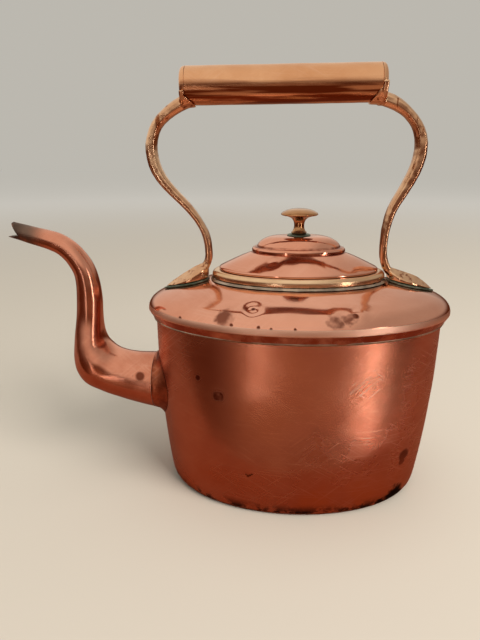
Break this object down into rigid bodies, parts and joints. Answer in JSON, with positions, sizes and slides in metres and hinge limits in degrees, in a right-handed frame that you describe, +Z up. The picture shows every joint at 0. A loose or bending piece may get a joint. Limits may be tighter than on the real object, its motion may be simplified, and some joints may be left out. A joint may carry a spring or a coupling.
{
  "type": "copper kettle",
  "caption": "Oval sheet-copper kettle with a swan-neck spout, a domed lift-off lid with a mushroom knob, and a fixed overhead brass handle with a tubular grip.",
  "frame": {"origin": "middle of the flat underside of the base, on the surface that the kettle stands on", "axes": "+Z up; -X towards the spout, so +X runs along the oval's length away from it; +Y the back; the handle lies in the XZ plane"},
  "size_m": [0.3068, 0.133, 0.2901],
  "materials": {
    "body_copper": null,
    "shoulder_copper": null,
    "base_copper": null,
    "spout_copper": null,
    "rivet_copper": null,
    "handle_brass": "hand-finished cast brass, worn facets and dark casting pits",
    "grip_brass": "rubbed coppery brass tube, rosy where it is held",
    "collar_brass": "polished yellow brass, tarnish in the corners",
    "knob_brass": "turned and polished yellow brass",
    "solder": null
  },
  "bodies": {
    "kettle": {"base_plate": "base_copper", "body_wall": "body_copper", "shoulder": "shoulder_copper", "seam_solder": "solder", "mouth_collar": "collar_brass", "collar_solder": "solder", "spout": "spout_copper", "spout_collar": "spout_copper", "grip_tube": "grip_brass", "grip_cap_left": "grip_brass", "grip_cap_right": "grip_brass", "upright_left": "handle_brass", "upright_right": "handle_brass", "foot_solder_left": "solder", "foot_solder_right": "solder", "foot_rivet_left_inner": "rivet_copper", "foot_rivet_left_outer": "rivet_copper", "foot_rivet_right_inner": "rivet_copper", "foot_rivet_right_outer": "rivet_copper"},
    "lid": {"lid_dome": "shoulder_copper", "lid_skirt": "base_copper", "knob_rosette": "solder", "knob": "knob_brass", "knob_burr": "knob_brass"}
  },
  "joints": [
    {"name": "lid_lift", "type": "slide", "parent": "kettle", "child": "lid", "axis": [0, 0, 1], "range_m": [0, 0.058]}
  ]
}
